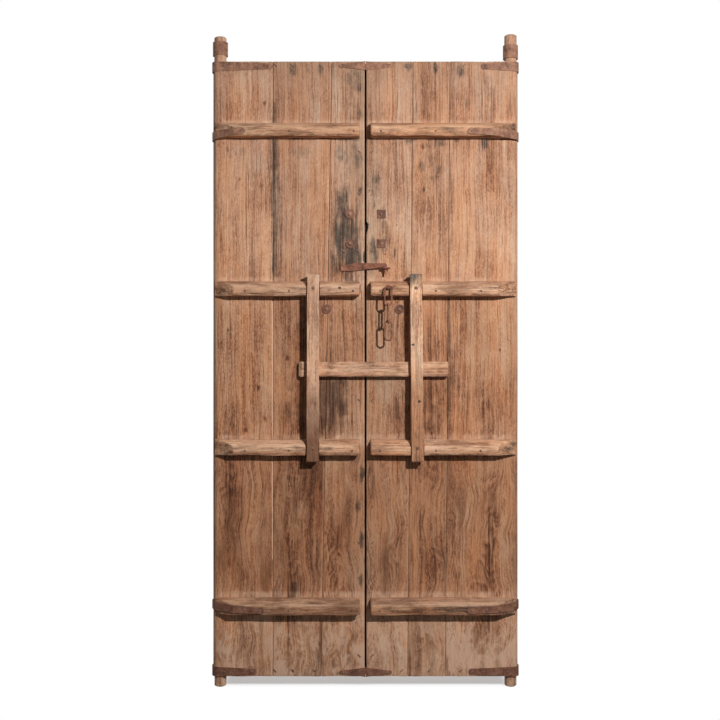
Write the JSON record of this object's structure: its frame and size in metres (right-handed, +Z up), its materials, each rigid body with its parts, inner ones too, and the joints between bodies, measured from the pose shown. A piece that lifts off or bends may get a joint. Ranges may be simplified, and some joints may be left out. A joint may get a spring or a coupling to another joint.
{
  "type": "plank pivot door",
  "caption": "Old wooden double door of planks on pivot posts, with dovetailed battens, a sliding bar in upright keepers, iron straps, a hook latch and a hanging chain.",
  "frame": {"origin": "middle of the pair on the plane of the pivot feet's lower ends, midway through the depth", "axes": "+Z up along the pivot posts, +X to the right across the pair seen from the inner side, +Y away from the viewer, so the battened inner side faces -Y"},
  "size_m": [1.0112, 0.1215, 2.153],
  "materials": {
    "weathered_planks": "bare weathered elm",
    "battens": "bare worn elm",
    "keepers_and_bar": "bare worn elm",
    "strap_iron": "rusted wrought iron",
    "nail_iron": "rusted wrought iron",
    "latch_iron": "rusted wrought iron"
  },
  "bodies": {
    "leaves": {"left_stile": "weathered_planks", "left_middle_plank": "weathered_planks", "left_inner_plank": "weathered_planks", "left_bottom_batten": "battens", "left_lower_batten": "battens", "left_upper_batten": "battens", "left_top_batten": "battens", "left_keeper": "keepers_and_bar", "left_keeper_nails": "nail_iron", "left_batten_nails": "nail_iron", "left_post_band": "strap_iron", "left_top_outer_strap": "strap_iron", "left_top_inner_strap": "strap_iron", "left_bottom_outer_strap": "strap_iron", "left_bottom_inner_strap": "strap_iron", "left_top_batten_strap": "strap_iron", "left_bottom_batten_strap": "strap_iron", "left_strap_rivets": "nail_iron", "left_washers": "strap_iron", "left_washer_bolts": "nail_iron", "left_clinched_nails": "nail_iron", "right_stile": "weathered_planks", "right_middle_plank": "weathered_planks", "right_inner_plank": "weathered_planks", "right_bottom_batten": "battens", "right_lower_batten": "battens", "right_upper_batten": "battens", "right_top_batten": "battens", "right_keeper": "keepers_and_bar", "right_keeper_nails": "nail_iron", "right_batten_nails": "nail_iron", "right_post_band": "strap_iron", "right_top_outer_strap": "strap_iron", "right_top_inner_strap": "strap_iron", "right_bottom_outer_strap": "strap_iron", "right_bottom_inner_strap": "strap_iron", "right_top_batten_strap": "strap_iron", "right_bottom_batten_strap": "strap_iron", "right_strap_rivets": "nail_iron", "right_washers": "strap_iron", "right_washer_bolts": "nail_iron", "right_clinched_nails": "nail_iron", "latch_pivot_pin": "latch_iron", "latch_eye": "latch_iron", "chain_spike": "latch_iron"},
    "sliding_bar": {"sliding_bar": "keepers_and_bar"},
    "latch_hook": {"latch_hook": "latch_iron"},
    "chain_link_1": {"chain_link_1": "latch_iron"},
    "chain_link_2": {"chain_link_2": "latch_iron"},
    "chain_link_3": {"chain_link_3": "latch_iron"}
  },
  "joints": [
    {"name": "bar_slide", "type": "slide", "parent": "leaves", "child": "sliding_bar", "axis": [1, 0, 0], "range_m": [-0.14, 0.2]},
    {"name": "latch_lift", "type": "hinge", "parent": "leaves", "child": "latch_hook", "pos_m": [-0.048, 0.008, 1.38], "axis": [0, -1, 0], "range_deg": [0, 85]},
    {"name": "chain_swing", "type": "hinge", "parent": "leaves", "child": "chain_link_1", "pos_m": [0.073, -0.045, 1.311], "axis": [0, 1, 0], "range_deg": [-12, 35]},
    {"name": "second_link_swing", "type": "hinge", "parent": "chain_link_1", "child": "chain_link_2", "pos_m": [0.073, -0.045, 1.2543], "axis": [1, 0, 0], "range_deg": [-30, 15]},
    {"name": "third_link_swing", "type": "hinge", "parent": "chain_link_2", "child": "chain_link_3", "pos_m": [0.073, -0.045, 1.1976], "axis": [0, 1, 0], "range_deg": [-12, 35]}
  ]
}
